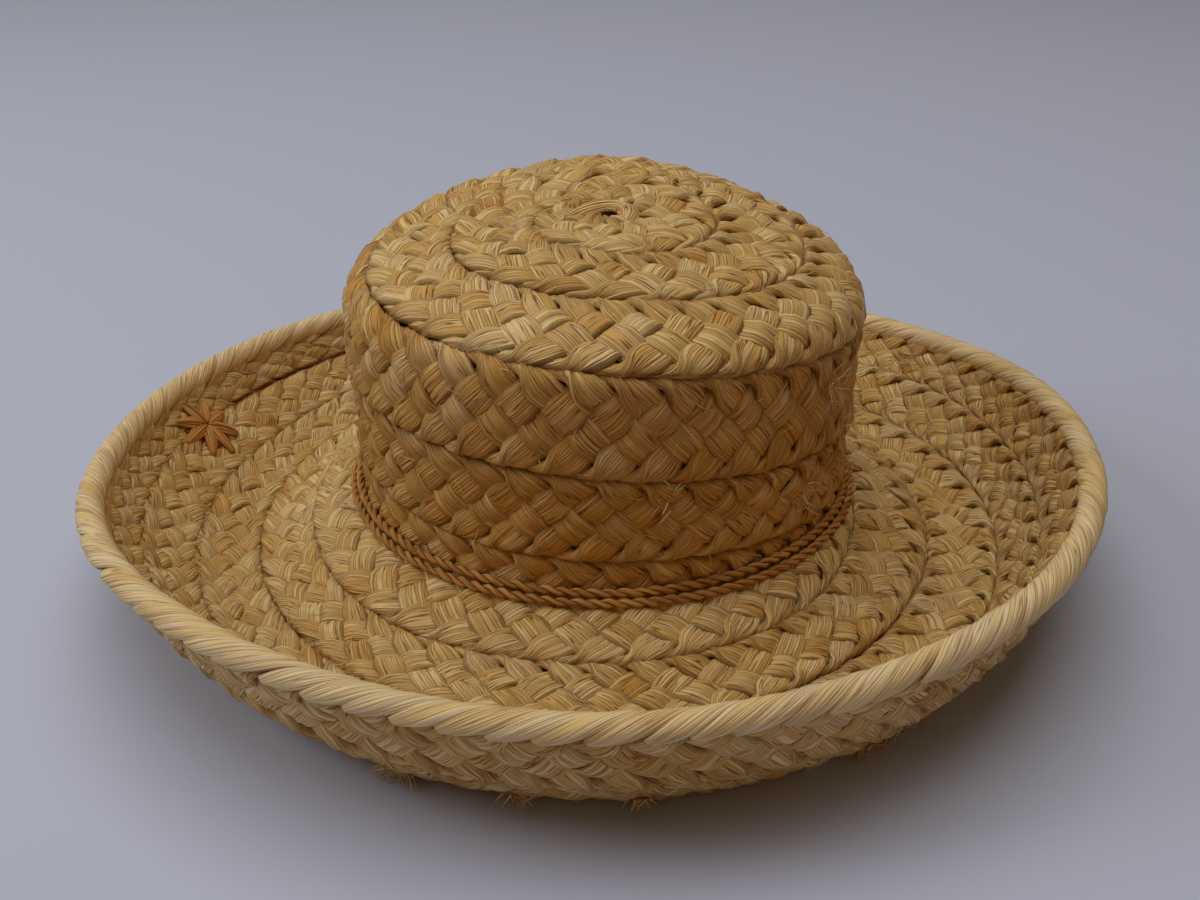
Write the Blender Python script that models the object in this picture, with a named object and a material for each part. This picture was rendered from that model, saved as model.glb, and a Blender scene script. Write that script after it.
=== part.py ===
"""Raffia sun hat: a flat plait of raffia sewn round and round from the crown's tip to a rolled rim."""

from bisect import bisect_right
from collections import namedtuple
from functools import lru_cache
from math import atan2, cos, floor, hypot, radians, sin, tau

import bmesh
import bpy
from mathutils import Vector
from mathutils.geometry import interpolate_bezier

# Walls, in metres
WALL = 0.0030  # thickness of the sewn plait
GAP = 0.0003  # clearance between neighbouring pieces
STEPS = 56  # sections round the hat
SPAN_POINTS = 14  # points along each span of a section

# Crown
CROWN_RADIUS = 0.0925  # middle of the wall at the top of the side
BASE_RADIUS = 0.0902  # middle of the wall where the brim starts
BASE_HEIGHT = 0.0262
TIP_HEIGHT = 0.1265
SHOULDER_WIDTH = 0.0165  # the rounded corner between the tip and the side
SHOULDER_RISE = 0.8  # the corner's height as a share of its width
SHOULDER_SLOPE = -17

# Brim
FLANGE_WIDTH = 0.0050  # the turn from the crown's side into the brim
FLANGE_HEIGHT = 0.0212
FLANGE_SLOPE = -22
TROUGH_HEIGHT = 0.0008  # middle of the wall at the brim's lowest ring
PRESSED_HEIGHT = 0.0016  # what lies lower than this is pressed flat onto the floor
ROLL_RADIUS = 0.0042  # rolled edge of the last round

# Cords round the crown
CORD_RADIUS = 0.0016
CORD_STEPS = 48
CordPlace = namedtuple("CordPlace", "radius height")
UPPER_CORD = CordPlace(0.0944, 0.0281)  # against the crown's side
LOWER_CORD = CordPlace(0.0966, 0.0252)  # in the corner, on the brim

# Star of raffia stitched on the brim at the left of the back
STAR_AZIMUTH = 166
STAR_DISTANCE = 0.0980  # along the brim from the crown's base
STAR_RAYS = 8
STAR_RADIUS = 0.0148
STAR_WAIST = 0.0058
STAR_THICKNESS = 0.0016
STAR_CLEARANCE = 0.0014  # over the wall's own surface

# The hat's shape every 45 degrees, anticlockwise from its right side seen from above. rise is the
# brim's slope at the rim in degrees, and corner is the height of the crown's side.
Section = namedtuple("Section", "rim_radius rim_height trough_radius rise corner")
SECTIONS = (
    Section(0.1772, 0.0419, 0.1410, 62, 0.0996),  # right
    Section(0.1818, 0.0255, 0.1355, 54, 0.1050),
    Section(0.1838, 0.0230, 0.1320, 46, 0.1105),  # back
    Section(0.1855, 0.0251, 0.1350, 55, 0.1055),
    Section(0.1852, 0.0337, 0.1385, 64, 0.1000),  # left
    Section(0.1912, 0.0494, 0.1460, 67, 0.1010),
    Section(0.1889, 0.0453, 0.1510, 70, 0.1025),  # front
    Section(0.1840, 0.0469, 0.1475, 67, 0.1010),
)

# Where one round of plait laps the next: the distance along the straw, at four sides of the hat.
# Crown rounds are measured from the tip's centre, brim rounds from the crown's base.
Seam = namedtuple("Seam", "right back left front")
TIP_SEAMS = (
    Seam(0.038, 0.032, 0.028, 0.034),
    Seam(0.074, 0.066, 0.054, 0.060),
    Seam(0.108, 0.098, 0.086, 0.094),
)
SIDE_SEAMS = (
    Seam(0.146, 0.134, 0.120, 0.131),
    Seam(0.166, 0.164, 0.154, 0.162),
)
BRIM_SEAMS = (
    Seam(0.012, 0.018, 0.025, 0.028),
    Seam(0.044, 0.042, 0.051, 0.053),
    Seam(0.072, 0.066, 0.076, 0.079),
    Seam(0.097, 0.090, 0.101, 0.105),
)

# Section of one round of plait: the share of its width, and how far it stands proud of the wall
Ridge = namedtuple("Ridge", "share lift")
RIDGES = (Ridge(0.0, -0.0010), Ridge(0.25, 0.0009), Ridge(0.65, 0.0006))

COLLECTION = "raffia_sun_hat"
PALE_RAFFIA = (0.55, 0.37, 0.18)
GOLDEN_RAFFIA = (0.45, 0.27, 0.11)
DARK_CORD = (0.22, 0.10, 0.04)
STAR_RAFFIA = (0.40, 0.20, 0.08)

Knot = namedtuple("Knot", "radius height slope")


def between_sections(column, azimuth):
    """Smooth value of one column of SECTIONS at any azimuth."""
    place = azimuth / tau * len(SECTIONS)
    first = floor(place)
    share = place - first
    before, start, end, after = (
        getattr(SECTIONS[(first + step) % len(SECTIONS)], column) for step in (-1, 0, 1, 2)
    )
    cubic = 3 * (start - end) + after - before
    square = 2 * before - 5 * start + 4 * end - after
    return start + 0.5 * share * (end - before + share * (square + share * cubic))


def seam_distance(seam, azimuth):
    """Distance of a seam along the straw at any azimuth, from its four sides."""
    mean = sum(seam) / 4
    right_left = (seam.right - seam.left) / 2
    back_front = (seam.back - seam.front) / 2
    oval = (seam.right + seam.left - seam.back - seam.front) / 4
    return mean + right_left * cos(azimuth) + back_front * sin(azimuth) + oval * cos(2 * azimuth)


def crown_knots(azimuth):
    corner = between_sections("corner", azimuth)
    shoulder = corner + SHOULDER_WIDTH * SHOULDER_RISE
    return (
        Knot(0.0, TIP_HEIGHT, 0),
        Knot(CROWN_RADIUS - SHOULDER_WIDTH, shoulder, SHOULDER_SLOPE),
        Knot(CROWN_RADIUS, corner, -90),
        Knot(BASE_RADIUS, BASE_HEIGHT, -90),
    )


def brim_knots(azimuth):
    return (
        Knot(BASE_RADIUS, BASE_HEIGHT, -90),
        Knot(BASE_RADIUS + FLANGE_WIDTH, FLANGE_HEIGHT, FLANGE_SLOPE),
        Knot(between_sections("trough_radius", azimuth), TROUGH_HEIGHT, 0),
        Knot(
            between_sections("rim_radius", azimuth),
            between_sections("rim_height", azimuth),
            between_sections("rise", azimuth),
        ),
    )


@lru_cache(maxsize=None)
def meridian(knots_of, azimuth):
    """Points of the wall's middle at one azimuth, with their distances along the straw."""
    knots = knots_of(azimuth)
    points = []
    for start, end in zip(knots, knots[1:]):
        corner_a = Vector((start.radius, start.height, 0))
        corner_b = Vector((end.radius, end.height, 0))
        reach = (corner_b - corner_a).length / 3
        leave = Vector((cos(radians(start.slope)), sin(radians(start.slope)), 0)) * reach
        arrive = Vector((cos(radians(end.slope)), sin(radians(end.slope)), 0)) * reach
        span = interpolate_bezier(
            corner_a, corner_a + leave, corner_b - arrive, corner_b, SPAN_POINTS
        )
        points.extend(span if not points else span[1:])
    distances = [0.0]
    for one, other in zip(points, points[1:]):
        distances.append(distances[-1] + (other - one).length)
    return points, distances


def straw_length(knots_of, azimuth):
    return meridian(knots_of, round(azimuth, 6))[1][-1]


def straw_point(knots_of, azimuth, distance):
    """Point of the wall's middle, a distance along the straw, past its ends in a straight line."""
    points, distances = meridian(knots_of, round(azimuth, 6))
    span = min(max(bisect_right(distances, distance), 1), len(points) - 1)
    share = (distance - distances[span - 1]) / (distances[span] - distances[span - 1])
    flat = points[span - 1].lerp(points[span], share)
    return Vector((flat.x * cos(azimuth), flat.x * sin(azimuth), flat.y))


def outward(knots_of, azimuth, distance):
    """Direction out of the crown, or up out of the brim."""
    step = 0.0005
    turn = 0.004
    if straw_point(knots_of, azimuth, distance).xy.length < step:
        return Vector((0, 0, 1))
    along = straw_point(knots_of, azimuth, distance + step)
    along = along - straw_point(knots_of, azimuth, distance - step)
    sideways = straw_point(knots_of, azimuth + turn, distance)
    sideways = sideways - straw_point(knots_of, azimuth - turn, distance)
    return along.cross(sideways).normalized()


def on_straw(knots_of, azimuth, distance, offset):
    """Point a given offset out of the wall's middle."""
    middle = straw_point(knots_of, azimuth, distance)
    return middle + outward(knots_of, azimuth, distance) * offset


def round_stations(rounds):
    """Stations across the rounds of a piece: the round's number plus the share of its width."""
    stations = [number + ridge.share for number in range(rounds) for ridge in RIDGES]
    return stations + [float(rounds)]


def ridge_lift(station):
    share = station - floor(station + 1e-6)
    return min(RIDGES, key=lambda ridge: abs(ridge.share - share)).lift


def station_distance(edges, station, azimuth):
    """Distance along the straw of a station, between the seams that bound its round."""
    number = min(floor(station + 1e-6), len(edges) - 2)
    start = edges[number](azimuth)
    end = edges[number + 1](azimuth)
    return start + (end - start) * (station - number)


def linked_object(name, mesh, colour, roughness):
    material = bpy.data.materials.new(name)
    material.use_nodes = True
    shader = material.node_tree.nodes["Principled BSDF"]
    shader.inputs["Base Color"].default_value = (*colour, 1.0)
    shader.inputs["Roughness"].default_value = roughness
    shader.inputs["Metallic"].default_value = 0.0
    mesh.materials.append(material)
    thing = bpy.data.objects.new(name, mesh)
    bpy.data.collections[COLLECTION].objects.link(thing)
    return thing


def sewn_shell(name, knots_of, edges, colour):
    """A ring or cap of sewn plait: spun flat as a washer, then bent to the hat's shape.

    The washer's radius counts the rounds, and its two layers are the wall's two sides.
    """
    stations = round_stations(len(edges) - 1)
    is_cap = edges[0](0.0) == 0.0
    hole = 0.0 if is_cap else 1.0
    shell = bmesh.new()
    path = [(station + hole, 1.0) for station in stations]
    path += [(station + hole, -1.0) for station in reversed(stations)]
    corners = [shell.verts.new((radius, 0.0, layer)) for radius, layer in path]
    lines = [shell.edges.new(pair) for pair in zip(corners, corners[1:])]
    if not is_cap:
        lines.append(shell.edges.new((corners[-1], corners[0])))
    bmesh.ops.spin(
        shell, geom=corners + lines, cent=(0, 0, 0), axis=(0, 0, 1), angle=tau, steps=STEPS,
        use_merge=True, use_duplicate=False,
    )
    bmesh.ops.remove_doubles(shell, verts=shell.verts, dist=0.0001)
    bmesh.ops.recalc_face_normals(shell, faces=shell.faces)
    for corner in shell.verts:
        azimuth = atan2(corner.co.y, corner.co.x) % tau
        station = hypot(corner.co.x, corner.co.y) - hole
        offset = corner.co.z * WALL / 2 + ridge_lift(station)
        distance = station_distance(edges, station, azimuth)
        corner.co = on_straw(knots_of, azimuth, distance, offset)
    mesh = bpy.data.meshes.new(name)
    shell.to_mesh(mesh)
    shell.free()
    mesh.shade_smooth()
    return linked_object(name, mesh, colour, roughness=0.75)


def press_flat(thing):
    """Flattens the underside's lowest ring onto the surface that the hat rests on."""
    for corner in thing.data.vertices:
        if corner.co.z < PRESSED_HEIGHT:
            corner.co.z = 0.0


def ring_tube(name, centre_at, radius, steps, colour):
    """A closed tube round the hat, through the point that centre_at gives at each azimuth."""
    curve = bpy.data.curves.new(name, "CURVE")
    curve.dimensions = "3D"
    curve.bevel_depth = radius
    curve.bevel_resolution = 2
    spline = curve.splines.new("POLY")
    spline.points.add(steps - 1)
    for number, point in enumerate(spline.points):
        point.co = (*centre_at(tau * number / steps), 1.0)
    spline.use_cyclic_u = True
    guide = bpy.data.objects.new(name + "_guide", curve)
    bpy.data.collections[COLLECTION].objects.link(guide)
    depsgraph = bpy.context.evaluated_depsgraph_get()
    mesh = bpy.data.meshes.new_from_object(guide.evaluated_get(depsgraph))
    bpy.data.objects.remove(guide)
    mesh.shade_smooth()
    return linked_object(name, mesh, colour, roughness=0.7)


def wound_cord(name, place):
    """A cord laid round the foot of the crown."""

    def centre_at(azimuth):
        return (place.radius * cos(azimuth), place.radius * sin(azimuth), place.height)

    return ring_tube(name, centre_at, CORD_RADIUS, CORD_STEPS, DARK_CORD)


def rolled_rim():
    """The last round's edge, rolled over, just past the end of the brim's wall."""
    past_end = ROLL_RADIUS + GAP

    def centre_at(azimuth):
        distance = straw_length(brim_knots, azimuth) + past_end
        return straw_point(brim_knots, azimuth, distance)

    return ring_tube("rim_roll", centre_at, ROLL_RADIUS, STEPS, PALE_RAFFIA)


def stitched_star():
    """A flat star of raffia rays, laid on the brim over one of its seams."""
    star = bmesh.new()
    points = 2 * STAR_RAYS
    bmesh.ops.create_circle(star, cap_ends=True, cap_tris=True, radius=STAR_RADIUS, segments=points)
    rim = [corner for corner in star.verts if corner.co.length > STAR_WAIST]
    for corner in rim:
        turn = atan2(corner.co.y, corner.co.x) / tau * points
        if round(turn) % 2:
            corner.co *= STAR_WAIST / STAR_RADIUS
    base = star.faces[:]
    raised = bmesh.ops.extrude_face_region(star, geom=base)["geom"]
    top = [part for part in raised if isinstance(part, bmesh.types.BMVert)]
    bmesh.ops.translate(star, vec=(0, 0, STAR_THICKNESS), verts=top)
    bmesh.ops.recalc_face_normals(star, faces=star.faces)
    middle = radians(STAR_AZIMUTH)
    ring = straw_point(brim_knots, middle, STAR_DISTANCE)
    radius = hypot(ring.x, ring.y)
    for corner in star.verts:
        offset = WALL / 2 + STAR_CLEARANCE + corner.co.z
        azimuth = middle - corner.co.x / radius
        distance = STAR_DISTANCE + corner.co.y
        corner.co = on_straw(brim_knots, azimuth, distance, offset)
    mesh = bpy.data.meshes.new("star_stitch")
    star.to_mesh(mesh)
    star.free()
    return linked_object("star_stitch", mesh, STAR_RAFFIA, roughness=0.7)


def centre_over_floor(things):
    """Moves the hat so that its box is centred on the origin, standing on the floor."""
    corners = [corner.co for thing in things for corner in thing.data.vertices]
    middle_x = (min(c.x for c in corners) + max(c.x for c in corners)) / 2
    middle_y = (min(c.y for c in corners) + max(c.y for c in corners)) / 2
    for corner in corners:
        corner.x -= middle_x
        corner.y -= middle_y


def shifted(edge, shift):
    return lambda azimuth: edge(azimuth) + shift


def main():
    for thing in list(bpy.data.objects):
        bpy.data.objects.remove(thing)
    bpy.context.scene.collection.children.link(bpy.data.collections.new(COLLECTION))
    seam_edges = [
        [lambda azimuth, seam=seam: seam_distance(seam, azimuth) for seam in seams]
        for seams in (TIP_SEAMS, SIDE_SEAMS, BRIM_SEAMS)
    ]
    tip_edges, side_edges, brim_edges = seam_edges
    start = lambda azimuth: 0.0
    crown_end = lambda azimuth: straw_length(crown_knots, azimuth)
    brim_end = lambda azimuth: straw_length(brim_knots, azimuth)
    half = GAP / 2
    tip_rounds = [start, *tip_edges[:-1], shifted(tip_edges[-1], -half)]
    side_rounds = [shifted(tip_edges[-1], half), *side_edges, shifted(crown_end, -half)]
    brim_rounds = [shifted(start, half), *brim_edges, brim_end]
    things = [
        sewn_shell("crown_tip", crown_knots, tip_rounds, PALE_RAFFIA),
        sewn_shell("crown_side", crown_knots, side_rounds, GOLDEN_RAFFIA),
        sewn_shell("brim", brim_knots, brim_rounds, PALE_RAFFIA),
        rolled_rim(),
        wound_cord("cord_upper", UPPER_CORD),
        wound_cord("cord_lower", LOWER_CORD),
        stitched_star(),
    ]
    press_flat(bpy.data.objects["brim"])
    centre_over_floor(things)


main()
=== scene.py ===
"""Looks of a raffia sun hat: one flat plait of raffia, sewn round and round from crown to rolled rim."""

from collections import namedtuple
from math import cos, pi, radians, sin, tau

import bmesh
import bpy
import numpy as np
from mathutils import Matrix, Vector
from mathutils.geometry import interpolate_bezier


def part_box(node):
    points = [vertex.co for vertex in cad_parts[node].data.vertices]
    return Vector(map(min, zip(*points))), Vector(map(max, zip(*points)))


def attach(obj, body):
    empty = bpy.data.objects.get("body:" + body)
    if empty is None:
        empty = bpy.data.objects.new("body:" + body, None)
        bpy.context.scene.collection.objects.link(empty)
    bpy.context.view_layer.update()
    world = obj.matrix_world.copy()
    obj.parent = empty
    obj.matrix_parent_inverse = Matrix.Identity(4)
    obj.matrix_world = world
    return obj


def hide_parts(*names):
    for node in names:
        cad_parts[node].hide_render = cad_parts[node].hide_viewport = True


bl_info = {
    "name": "Raffia sun hat",
    "version": (1, 0, 0),
    "blender": (4, 5, 0),
    "location": "3D View > Sidebar > Hat",
    "description": "Dresses the sun hat's frame in plaited, sewn and twisted raffia",
    "category": "Object",
}

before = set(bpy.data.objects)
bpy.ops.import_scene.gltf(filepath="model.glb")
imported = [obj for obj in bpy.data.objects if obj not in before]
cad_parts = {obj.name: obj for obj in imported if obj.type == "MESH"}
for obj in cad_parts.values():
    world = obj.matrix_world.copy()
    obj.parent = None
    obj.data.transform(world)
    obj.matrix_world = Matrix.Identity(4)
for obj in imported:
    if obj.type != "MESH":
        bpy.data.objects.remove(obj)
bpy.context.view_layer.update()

# The crown's axis stands in the middle of the cord wound round its foot.
CORD_LOW, CORD_HIGH = (Vector(corner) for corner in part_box("cord_upper"))
AXIS = (CORD_LOW + CORD_HIGH) / 2

# The middle of the sewn wall, as in the frame. slope is in degrees, from level.
Knot = namedtuple("Knot", "radius height slope")
TIP = Knot(0.0, 0.1265, 0)
CROWN_RADIUS = 0.0925
SHOULDER_WIDTH = 0.0165
SHOULDER_RISE = 0.8
SHOULDER_SLOPE = -17
CROWN_FOOT = Knot(0.0902, 0.0262, -90)
FLANGE = Knot(0.0952, 0.0212, -22)
TROUGH_HEIGHT = 0.0008
WALL_HALF = 0.0015
ROLL_RADIUS = 0.0042
RIM_TUCK = 0.0020  # how far the last round of plait goes into the roll

# The hat's shape every 45 degrees, anticlockwise from its right side seen from above. rise is the
# brim's slope at the rim in degrees, and corner is the height of the crown's side.
Section = namedtuple("Section", "rim_radius rim_height trough_radius rise corner")
SECTIONS = (
    Section(0.1772, 0.0419, 0.1410, 62, 0.0996),  # right
    Section(0.1818, 0.0255, 0.1355, 54, 0.1050),
    Section(0.1838, 0.0230, 0.1320, 46, 0.1105),  # back
    Section(0.1855, 0.0251, 0.1350, 55, 0.1055),
    Section(0.1852, 0.0337, 0.1385, 64, 0.1000),  # left
    Section(0.1912, 0.0494, 0.1460, 67, 0.1010),
    Section(0.1889, 0.0453, 0.1510, 70, 0.1025),  # front
    Section(0.1840, 0.0469, 0.1475, 67, 0.1010),
)

# Where each round of plait laps the next. The plait winds outward, and a seam is its outer edge:
# after that many turns it lies so far along the straw, in metres from the tip's centre on the crown
# and from the crown's foot on the brim.
Seam = namedtuple("Seam", "turns distance")
CROWN_SEAMS = (
    Seam(-0.40, 0.000), Seam(0.00, 0.004), Seam(0.25, 0.014), Seam(0.50, 0.024), Seam(0.80, 0.0355),
    Seam(1.20, 0.046), Seam(1.43, 0.0536), Seam(1.69, 0.0598), Seam(1.94, 0.073), Seam(2.20, 0.079),
    Seam(2.44, 0.084), Seam(2.63, 0.0895), Seam(2.86, 0.099), Seam(2.97, 0.107), Seam(3.20, 0.115),
    Seam(3.50, 0.122), Seam(3.75, 0.131), Seam(4.00, 0.146), Seam(4.25, 0.152), Seam(4.50, 0.156),
    Seam(4.75, 0.163), Seam(5.00, 0.169), Seam(5.25, 0.176), Seam(5.50, 0.184), Seam(5.75, 0.196),
    Seam(6.00, 0.204), Seam(6.30, 0.210),
)
BRIM_SEAMS = (
    Seam(-1.10, -0.028), Seam(-0.94, -0.018), Seam(-0.85, -0.004), Seam(-0.75, 0.000),
    Seam(-0.50, -0.002), Seam(-0.25, 0.002), Seam(0.00, 0.007), Seam(0.06, 0.010),
    Seam(0.125, 0.024), Seam(0.25, 0.028), Seam(0.375, 0.030), Seam(0.50, 0.026),
    Seam(0.75, 0.030), Seam(0.917, 0.038), Seam(1.00, 0.043), Seam(1.14, 0.046),
    Seam(1.25, 0.052), Seam(1.50, 0.0515), Seam(1.75, 0.058), Seam(1.917, 0.069),
    Seam(2.00, 0.073), Seam(2.12, 0.072), Seam(2.25, 0.078), Seam(2.50, 0.076),
    Seam(2.56, 0.073), Seam(2.75, 0.082), Seam(2.917, 0.093), Seam(3.06, 0.095),
    Seam(3.25, 0.104), Seam(3.50, 0.100), Seam(3.63, 0.097), Seam(3.75, 0.102),
    Seam(3.82, 0.116), Seam(3.90, 0.130), Seam(4.10, 0.140), Seam(5.00, 0.150),
)

# winding is 1 where the plait winds anticlockwise seen from above, and -1 where clockwise.
Spiral = namedtuple("Spiral", "seams winding last_turn seed")
CROWN_SPIRAL = Spiral(CROWN_SEAMS, 1, 6.37, 11)
BRIM_SPIRAL = Spiral(BRIM_SEAMS, -1, 4.86, 23)
CROWN_JOIN = 3.25  # turns at which the crown's plait is handed from one piece to the next
BRIM_JOIN = 2.75

# How finely the hat's shape is tabled
AZIMUTH_STEPS = 360
SPAN_POINTS = 24
STRAW_STEP = 0.0005
STRAW_REACH = 0.040  # straight on past the rim
TURN_STEP = 0.002
SEAM_SMOOTHING = 0.10  # turns to each side over which a seam's course is smoothed
PRESS = 0.0006  # how softly the straw is pressed flat onto the floor

# Plait of five strands, in the flat
STRANDS = 5
PLAIT_WIDTH = 0.038
FOLD_SHARPNESS = 0.94  # 1 would fold a strand at a point
FOLD_SHARE = 0.095  # share of a strand's repeat, to each side of an edge, in which it turns over
FOLD_PULL = 0.0006  # how far a turned strand is pulled in from the edge
FOLD_NARROWING = 0.58  # share of its width that a strand loses where it turns over
UV_SIZE = 0.1  # metres of strand to one unit of its UV map
PLAIT_GOLD = 0.45  # how golden the straw is, from 0 to 1
CROWN_SIDE_WARM_SHADE = 0.70  # how much more golden the straw is painted down the crown's side: painted warm shade, for the side's shade warmed by light bounced off the straw
CROWN_SIDE_SHADE_TURN = 3.0  # the turn of plait from which that painted warm shade begins


def size_property(name, description, default):
    return bpy.props.FloatProperty(name=name, description=description, default=default, unit="LENGTH")


def colour_property(name, description, default):
    return bpy.props.StringProperty(name=name, description=description, default=default)


class PlaitSizes(bpy.types.PropertyGroup):
    strand_width: size_property("Strand width", "Width of one flat bundle of raffia", 0.0126)
    strand_half: size_property(
        "Strand half thickness", "How far a strand bulges to each side of its middle", 0.00140,
    )
    fold_half: size_property(
        "Fold half thickness", "How far a strand bulges where it turns over at an edge", 0.0024,
    )
    weave_height: size_property("Weave height", "How far a strand rises or dips at a crossing", 0.00155)
    strand_repeat: size_property(
        "Strand repeat", "Length of plait in which a strand crosses it and returns", 0.075,
    )
    lap: size_property("Lap", "How far each round passes under or over its seams", 0.0014)
    tilt: size_property("Tilt", "How far a round's outer edge stands over its inner edge, halved", 0.0005)
    section_step: size_property("Section step", "Length of plait between two sections of a strand", 0.0022)


class TrimSizes(bpy.types.PropertyGroup):
    ply_radius: size_property("Ply radius", "Radius of one of a cord's two plies", 0.00095)
    ply_offset: size_property("Ply offset", "Distance of a ply's middle from the cord's", 0.00075)
    cord_pitch: size_property("Cord pitch", "Length of cord in which a ply turns once", 0.0105)
    wrap_spacing: size_property(
        "Wrap spacing", "Distance between the strands that roll over the rim", 0.0132,
    )
    wrap_width: size_property("Wrap width", "Width of a strand that rolls over the rim", 0.0086)
    star_radius: size_property("Star radius", "Reach of the stitched star's rays", 0.0185)
    star_rays: bpy.props.IntProperty(name="Star rays", description="Raised rays of the star", default=8)
    stray_fibres: bpy.props.IntProperty(
        name="Stray fibres", description="Single fibre ends that stand out of the straw", default=640,
    )


class StageSettings(bpy.types.PropertyGroup):
    lens: bpy.props.FloatProperty(
        name="Lens", description="Focal length on a 36 mm wide picture, in millimetres", default=41.61,
    )
    distance: size_property("Distance", "From the camera to the point it looks at", 0.5455)
    elevation: bpy.props.FloatProperty(
        name="Elevation", description="Height of the camera over the level, as an angle",
        default=radians(28.3), subtype="ANGLE",
    )
    aim_height: size_property("Aim height", "Height of the point that the camera looks at", 0.0315)
    aim_side: size_property("Aim side", "How far right of the crown's axis the camera looks", -0.0011)


def hex_colour(code):
    """Linear colour of an sRGB hex value."""
    parts = [int(code[place:place + 2], 16) / 255 for place in (1, 3, 5)]
    return tuple(part / 12.92 if part <= 0.04045 else ((part + 0.055) / 1.055) ** 2.4 for part in parts)


class RaffiaColours(bpy.types.PropertyGroup):
    pale: colour_property("Pale raffia", "sRGB hex value of the palest strands", "#EDD299")
    bleached: colour_property(
        "Bleached raffia", "sRGB hex value of sun-bleached strands at the rim", "#EDD7AA",
    )
    straw: colour_property("Straw", "sRGB hex value of most strands", "#DEB970")
    golden: colour_property("Golden", "sRGB hex value of the darkest strands", "#CA9645")
    # This colour also paints warm shade down the crown's side.
    stain_and_side_shade: colour_property("Stain", "sRGB hex value of golden stains along the fibres", "#C48A33")
    # This colour also paints shade: in seams, in the brim's groove, under crossings, at strand edges,
    # between a cord's plies and between the star's rays.
    crease_and_shade: colour_property("Crease", "sRGB hex value of the creases between fibres", "#7A3804")
    cord: colour_property("Cord", "sRGB hex value of the twisted cords", "#B68849")
    star: colour_property("Star", "sRGB hex value of the stitched star", "#BE8E50")


def section_values(column, azimuth):
    """Smooth value of one column of SECTIONS at many azimuths."""
    values = np.array([getattr(section, column) for section in SECTIONS])
    place = azimuth / tau * len(SECTIONS)
    first = np.floor(place).astype(int)
    share = place - first
    before, start, end, after = (values[(first + step) % len(SECTIONS)] for step in (-1, 0, 1, 2))
    cubic = 3 * (start - end) + after - before
    square = 2 * before - 5 * start + 4 * end - after
    return start + 0.5 * share * (end - before + share * (square + share * cubic))


def meridian_points(azimuth):
    """Radius and height along the wall's middle, from the tip to past the rim, at many azimuths."""
    corner = section_values("corner", azimuth)
    shoulder = corner + SHOULDER_WIDTH * SHOULDER_RISE
    level = np.ones_like(azimuth)
    knots = [
        Knot(TIP.radius * level, TIP.height * level, TIP.slope * level),
        Knot((CROWN_RADIUS - SHOULDER_WIDTH) * level, shoulder, SHOULDER_SLOPE * level),
        Knot(CROWN_RADIUS * level, corner, -90 * level),
        Knot(CROWN_FOOT.radius * level, CROWN_FOOT.height * level, CROWN_FOOT.slope * level),
        Knot(FLANGE.radius * level, FLANGE.height * level, FLANGE.slope * level),
        Knot(section_values("trough_radius", azimuth), TROUGH_HEIGHT * level, 0 * level),
        Knot(*(section_values(column, azimuth) for column in ("rim_radius", "rim_height", "rise"))),
    ]
    share = np.linspace(0, 1, SPAN_POINTS)[None, :, None]
    spans = []
    for start, end in zip(knots, knots[1:]):
        ends = [np.stack([knot.radius, knot.height], -1)[:, None, :] for knot in (start, end)]
        reach = np.linalg.norm(ends[1] - ends[0], axis=-1, keepdims=True) / 3
        leave, arrive = (
            np.stack([np.cos(np.radians(knot.slope)), np.sin(np.radians(knot.slope))], -1)[:, None, :]
            for knot in (start, end)
        )
        first, last = ends[0] + leave * reach, ends[1] - arrive * reach
        span = (
            ends[0] * (1 - share) ** 3 + 3 * first * share * (1 - share) ** 2
            + 3 * last * share ** 2 * (1 - share) + ends[1] * share ** 3
        )
        spans.append(span if not spans else span[:, 1:])
    spans.append(ends[1] + arrive * STRAW_REACH)
    return np.concatenate(spans, axis=1)


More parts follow.
